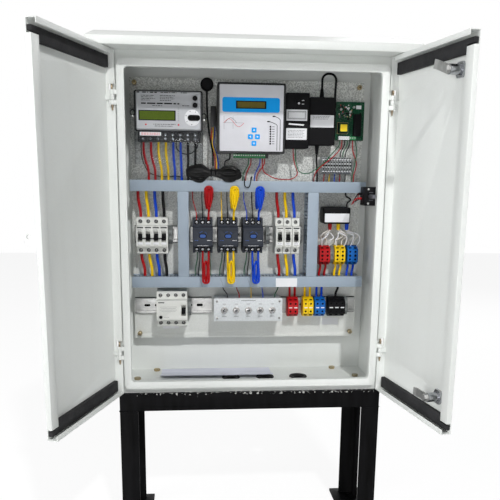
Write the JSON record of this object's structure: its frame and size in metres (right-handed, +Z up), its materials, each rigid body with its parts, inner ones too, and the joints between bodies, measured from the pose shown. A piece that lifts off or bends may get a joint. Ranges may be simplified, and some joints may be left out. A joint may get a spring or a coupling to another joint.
{
  "type": "street light control cabinet",
  "caption": "Steel cabinet with two doors and a rain canopy on an angle iron stand, fitted with meter, controller, breakers, contactors, terminals and wiring ducts",
  "frame": {"origin": "on the ground, at the centre of the four anchor holes of the stand", "axes": "X to the right as seen from the front, Y from the doors towards the back wall, Z up"},
  "size_m": [0.7639, 0.5059, 1.1169],
  "materials": {
    "cabinet_paint": "satin powder coat",
    "plate_paint": "satin powder coat",
    "stand_black": "brushed-on black enamel",
    "zinc": "zinc plated",
    "brass_zinc": "yellow passivated",
    "nickel": "nickel plated",
    "foam": "foam",
    "black_rubber": "moulded",
    "duct_grey": "moulded",
    "breaker_white": "moulded",
    "lever_black": "moulded",
    "contactor_slate": "moulded",
    "indicator_blue": "moulded",
    "terminal_red": "moulded",
    "terminal_yellow": "moulded",
    "terminal_blue": "moulded",
    "terminal_black": "moulded",
    "terminal_grey": "moulded",
    "meter_white": "moulded",
    "meter_clear": "clear moulding",
    "meter_key": "moulded",
    "controller_white": "painted",
    "battery_black": "moulded",
    "black_plastic": "moulded",
    "board_green": "coated board",
    "sensor_black": "moulded",
    "panel_white": "painted",
    "wire_red": "insulated wire",
    "wire_yellow": "insulated wire",
    "wire_blue": "insulated wire",
    "wire_black": "insulated wire",
    "wire_control": "insulated wire",
    "paper": "folded paper"
  },
  "bodies": {
    "cabinet": {"cabinet_body": "cabinet_paint", "canopy": "cabinet_paint", "mounting_plate": "plate_paint", "stand_frame": "stand_black", "fixings": "zinc", "grommets": "black_rubber", "din_rails": "zinc", "duct_bases": "duct_grey", "duct_lids": "duct_grey", "main_breaker": "breaker_white", "outgoing_breakers": "breaker_white", "rccb_housing": "breaker_white", "contactors": "contactor_slate", "terminals_red": "terminal_red", "terminals_yellow": "terminal_yellow", "terminals_blue": "terminal_blue", "terminals_black": "terminal_black", "terminals_grey": "terminal_grey", "meter_case": "meter_white", "meter_cover": "meter_clear", "controller": "controller_white", "battery_box": "battery_black", "switch_panel": "panel_white", "power_supply": "black_plastic", "relay_board": "board_green", "antenna_puck": "black_plastic", "current_sensor": "sensor_black", "limit_switch": "black_plastic", "wiring_diagram": "paper", "hinge_pins": "brass_zinc", "wires_red": "wire_red", "wires_yellow": "wire_yellow", "wires_blue": "wire_blue", "wires_black": "wire_black", "wires_thin": "wire_control"},
    "left_door_body": {"left_door": "cabinet_paint", "left_gaskets": "foam"},
    "right_door_body": {"right_door": "cabinet_paint", "right_gaskets": "foam", "lock_bodies": "nickel"},
    "upper_cam_body": {"upper_cam": "zinc"},
    "lower_cam_body": {"lower_cam": "zinc"},
    "main_toggle_body": {"main_toggle": "lever_black"},
    "rccb_toggle_body": {"rccb_toggle": "lever_black"},
    "rccb_test_button_body": {"rccb_test_button": "lever_black"},
    "meter_key_upper_body": {"meter_key_upper": "meter_key"},
    "meter_key_lower_body": {"meter_key_lower": "meter_key"},
    "limit_plunger_body": {"limit_plunger": "breaker_white"},
    "battery_lever_body": {"battery_lever": "nickel"},
    "breaker_toggle_1_body": {"breaker_toggle_1": "lever_black"},
    "breaker_toggle_2_body": {"breaker_toggle_2": "lever_black"},
    "breaker_toggle_3_body": {"breaker_toggle_3": "lever_black"},
    "indicator_1_body": {"indicator_1": "indicator_blue"},
    "indicator_2_body": {"indicator_2": "indicator_blue"},
    "indicator_3_body": {"indicator_3": "indicator_blue"},
    "panel_lever_1_body": {"panel_lever_1": "nickel"},
    "panel_lever_2_body": {"panel_lever_2": "nickel"},
    "panel_lever_3_body": {"panel_lever_3": "nickel"},
    "panel_lever_4_body": {"panel_lever_4": "nickel"},
    "panel_lever_5_body": {"panel_lever_5": "nickel"}
  },
  "joints": [
    {"name": "left_door_hinge", "type": "hinge", "parent": "cabinet", "child": "left_door_body", "pos_m": [-0.288, -0.099, 0.7], "axis": [0, 0, -1], "range_deg": [-108.4, 6.6]},
    {"name": "right_door_hinge", "type": "hinge", "parent": "cabinet", "child": "right_door_body", "pos_m": [0.288, -0.099, 0.7], "axis": [0, 0, 1], "range_deg": [-99.5, 15.5]},
    {"name": "upper_lock_turn", "type": "hinge", "parent": "right_door_body", "child": "upper_cam_body", "pos_m": [0.31502, -0.3368, 1.007], "axis": [0.9863, 0.165, 0], "range_deg": [-19, 71]},
    {"name": "lower_lock_turn", "type": "hinge", "parent": "right_door_body", "child": "lower_cam_body", "pos_m": [0.31502, -0.3368, 0.41], "axis": [-0.9863, -0.165, 0], "range_deg": [0, 90]},
    {"name": "main_breaker_switch", "type": "hinge", "parent": "cabinet", "child": "main_toggle_body", "pos_m": [-0.2196, 0.0059, 0.6875], "axis": [1, 0, 0], "range_deg": [-48, 0]},
    {"name": "outgoing_breaker_switch_1", "type": "hinge", "parent": "cabinet", "child": "breaker_toggle_1_body", "pos_m": [0.0699, 0.0059, 0.6875], "axis": [1, 0, 0], "range_deg": [-48, 0]},
    {"name": "outgoing_breaker_switch_2", "type": "hinge", "parent": "cabinet", "child": "breaker_toggle_2_body", "pos_m": [0.0888, 0.0059, 0.6875], "axis": [1, 0, 0], "range_deg": [-48, 0]},
    {"name": "outgoing_breaker_switch_3", "type": "hinge", "parent": "cabinet", "child": "breaker_toggle_3_body", "pos_m": [0.1077, 0.0059, 0.6875], "axis": [1, 0, 0], "range_deg": [-48, 0]},
    {"name": "rccb_switch", "type": "hinge", "parent": "cabinet", "child": "rccb_toggle_body", "pos_m": [-0.1507, 0.0059, 0.518], "axis": [1, 0, 0], "range_deg": [-48, 0]},
    {"name": "rccb_test_press", "type": "slide", "parent": "cabinet", "child": "rccb_test_button_body", "axis": [0, 1, 0], "range_m": [0, 0.002], "stiffness_N_per_m": 150},
    {"name": "panel_switch_1", "type": "hinge", "parent": "cabinet", "child": "panel_lever_1_body", "pos_m": [-0.0565, 0.0054, 0.516], "axis": [1, 0, 0], "range_deg": [-26, 0]},
    {"name": "panel_switch_2", "type": "hinge", "parent": "cabinet", "child": "panel_lever_2_body", "pos_m": [-0.0284, 0.0054, 0.516], "axis": [1, 0, 0], "range_deg": [-26, 0]},
    {"name": "panel_switch_3", "type": "hinge", "parent": "cabinet", "child": "panel_lever_3_body", "pos_m": [-0.0003, 0.0054, 0.516], "axis": [1, 0, 0], "range_deg": [-26, 0]},
    {"name": "panel_switch_4", "type": "hinge", "parent": "cabinet", "child": "panel_lever_4_body", "pos_m": [0.0278, 0.0054, 0.516], "axis": [1, 0, 0], "range_deg": [-26, 0]},
    {"name": "panel_switch_5", "type": "hinge", "parent": "cabinet", "child": "panel_lever_5_body", "pos_m": [0.0559, 0.0054, 0.516], "axis": [1, 0, 0], "range_deg": [-26, 0]},
    {"name": "battery_switch", "type": "hinge", "parent": "cabinet", "child": "battery_lever_body", "pos_m": [0.1075, 0.0204, 0.984], "axis": [1, 0, 0], "range_deg": [-26, 0]},
    {"name": "meter_key_upper_press", "type": "slide", "parent": "cabinet", "child": "meter_key_upper_body", "axis": [0, 1, 0], "range_m": [0, 0.0015], "stiffness_N_per_m": 150},
    {"name": "meter_key_lower_press", "type": "slide", "parent": "cabinet", "child": "meter_key_lower_body", "axis": [0, 1, 0], "range_m": [0, 0.0015], "stiffness_N_per_m": 150},
    {"name": "contactor_indicator_1_pull", "type": "slide", "parent": "cabinet", "child": "indicator_1_body", "axis": [0, 1, 0], "range_m": [0, 0.003], "stiffness_N_per_m": 150},
    {"name": "contactor_indicator_2_pull", "type": "slide", "parent": "cabinet", "child": "indicator_2_body", "axis": [0, 1, 0], "range_m": [0, 0.003], "stiffness_N_per_m": 150},
    {"name": "contactor_indicator_3_pull", "type": "slide", "parent": "cabinet", "child": "indicator_3_body", "axis": [0, 1, 0], "range_m": [0, 0.003], "stiffness_N_per_m": 150},
    {"name": "limit_plunger_press", "type": "slide", "parent": "cabinet", "child": "limit_plunger_body", "axis": [0, 1, 0], "range_m": [0, 0.006], "stiffness_N_per_m": 300}
  ]
}
